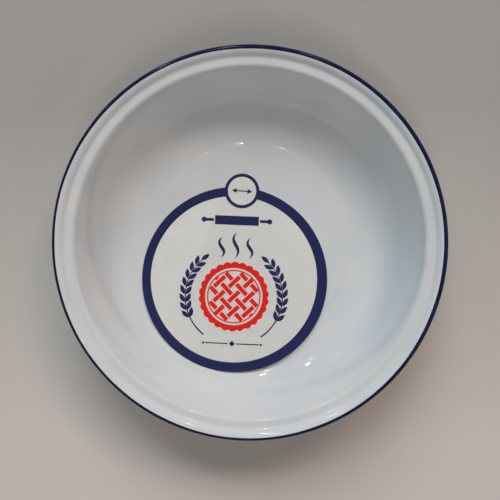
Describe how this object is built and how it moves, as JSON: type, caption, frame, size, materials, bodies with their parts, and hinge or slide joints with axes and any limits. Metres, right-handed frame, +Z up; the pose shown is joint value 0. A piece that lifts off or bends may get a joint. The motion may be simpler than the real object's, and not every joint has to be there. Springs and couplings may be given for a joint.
{
  "type": "pie dish",
  "caption": "Round enamelled steel pie dish with sloping walls, a channelled flange, a rolled blue rim and a loose round card label.",
  "frame": {"origin": "on the dish's axis, on the plane that its foot ring stands on", "axes": "+Z up along the dish's axis, out of its mouth; +Y towards the tab of the label, which is the top of the picture; +X to the picture's right"},
  "size_m": [0.26, 0.26, 0.045],
  "materials": {
    "pressed_steel": "satin",
    "ground_enamel": "gloss",
    "white_enamel": "gloss",
    "blue_enamel": "gloss",
    "label_board": "satin",
    "navy_ink": "satin",
    "red_ink": "satin"
  },
  "bodies": {
    "dish": {"steel_pressing": "pressed_steel", "ground_coat": "ground_enamel", "white_enamel": "white_enamel", "blue_rim_enamel": "blue_enamel"},
    "label": {"label_card": "label_board"}
  },
  "joints": [
    {"name": "label_lift", "type": "slide", "parent": "dish", "child": "label", "axis": [0, 0, 1], "range_m": [0, 0.06]}
  ]
}
